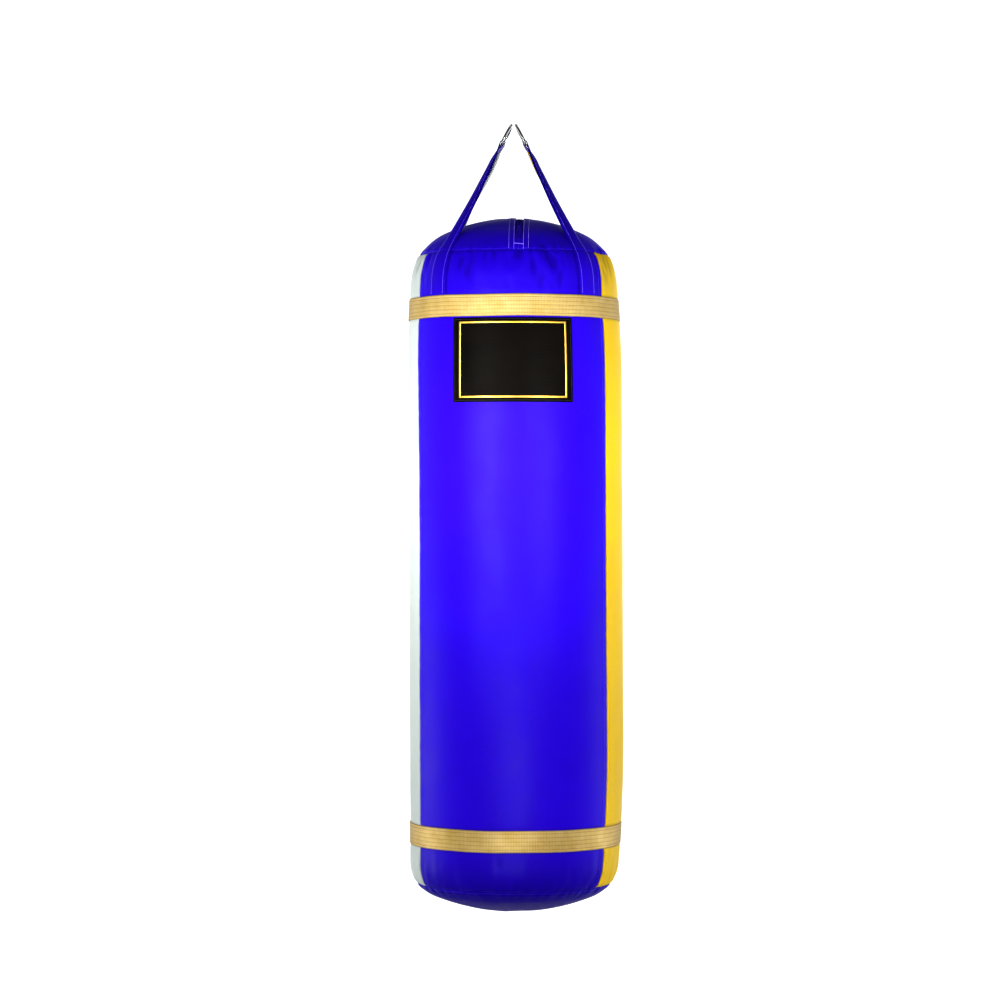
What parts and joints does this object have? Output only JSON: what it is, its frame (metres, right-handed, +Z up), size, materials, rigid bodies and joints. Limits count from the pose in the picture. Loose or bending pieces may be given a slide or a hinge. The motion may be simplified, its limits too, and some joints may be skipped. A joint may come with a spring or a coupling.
{
  "type": "hanging boxing bag",
  "caption": "Tall round-ended hanging boxing bag with a panelled cover, sewn bands, a front label, gathered hanger straps, wire D-rings and a zip across the top cap.",
  "frame": {"origin": "the hang point: the inside of the two D-rings' arches, where a hook bears", "axes": "+Z up along the bag's axis; -Y to the front, where the label is; +X to the bag's right as seen from the front"},
  "size_m": [0.3798, 0.3798, 1.3878],
  "materials": {
    "cover_blue": "satin",
    "cover_white": "satin",
    "cover_yellow": "satin",
    "band_gold": "satin",
    "label_black": "satin",
    "lining_cloth": "matte",
    "padding_foam": "matte",
    "shredded_textile": "matte",
    "ring_chrome": "polished",
    "zip_tape": "matte",
    "zip_teeth": "satin",
    "zip_metal": "satin"
  },
  "bodies": {
    "bag": {"front_panel": "cover_blue", "right_panel": "cover_yellow", "left_panel": "cover_white", "top_cap_left": "cover_blue", "top_cap_right": "cover_blue", "bottom_cap": "cover_blue", "upper_band": "band_gold", "lower_band": "band_gold", "label_patch": "label_black", "liner": "lining_cloth", "foam_wrap": "padding_foam", "top_foam_pad": "padding_foam", "bottom_foam_pad": "padding_foam", "filling": "shredded_textile", "strap_anchor_front_left": "cover_blue", "strap_anchor_front_right": "cover_blue", "strap_anchor_back_left": "cover_white", "strap_anchor_back_right": "cover_yellow", "strap_backing_front_left": "lining_cloth", "strap_backing_front_right": "lining_cloth", "strap_backing_back_left": "lining_cloth", "strap_backing_back_right": "lining_cloth", "zip_tape_left": "zip_tape", "zip_tape_right": "zip_tape", "zip_chain_left": "zip_teeth", "zip_chain_right": "zip_teeth", "zip_stop_front": "zip_teeth", "zip_stop_back": "zip_teeth"},
    "left_hanger": {"strap_leg_front_left": "cover_blue", "strap_leg_back_left": "cover_white"},
    "right_hanger": {"strap_leg_front_right": "cover_blue", "strap_leg_back_right": "cover_yellow"},
    "left_ring": {"left_ring": "ring_chrome"},
    "right_ring": {"right_ring": "ring_chrome"},
    "zip_slider": {"zip_slider": "zip_metal"},
    "zip_pull": {"zip_pull": "zip_metal"}
  },
  "joints": [
    {"name": "left_hanger_fold", "type": "hinge", "parent": "bag", "child": "left_hanger", "pos_m": [-0.11545, 0, -0.22199], "axis": [0, -1, 0], "range_deg": [0, 110]},
    {"name": "right_hanger_fold", "type": "hinge", "parent": "bag", "child": "right_hanger", "pos_m": [0.11545, 0, -0.22199], "axis": [0, 1, 0], "range_deg": [0, 110]},
    {"name": "left_ring_swing", "type": "hinge", "parent": "left_hanger", "child": "left_ring", "pos_m": [-0.0217, 0, -0.0334], "axis": [0, -1, 0], "range_deg": [0, 120]},
    {"name": "right_ring_swing", "type": "hinge", "parent": "right_hanger", "child": "right_ring", "pos_m": [0.0217, 0, -0.0334], "axis": [0, 1, 0], "range_deg": [0, 120]},
    {"name": "zip_slide", "type": "hinge", "parent": "bag", "child": "zip_slider", "pos_m": [0.012, 0, -0.449], "axis": [1, 0, 0], "range_deg": [0, 45.6]},
    {"name": "zip_pull_flip", "type": "hinge", "parent": "zip_slider", "child": "zip_pull", "pos_m": [0.012, 0.11217, -0.18217], "axis": [1, 0, 0], "range_deg": [0, 168]}
  ]
}
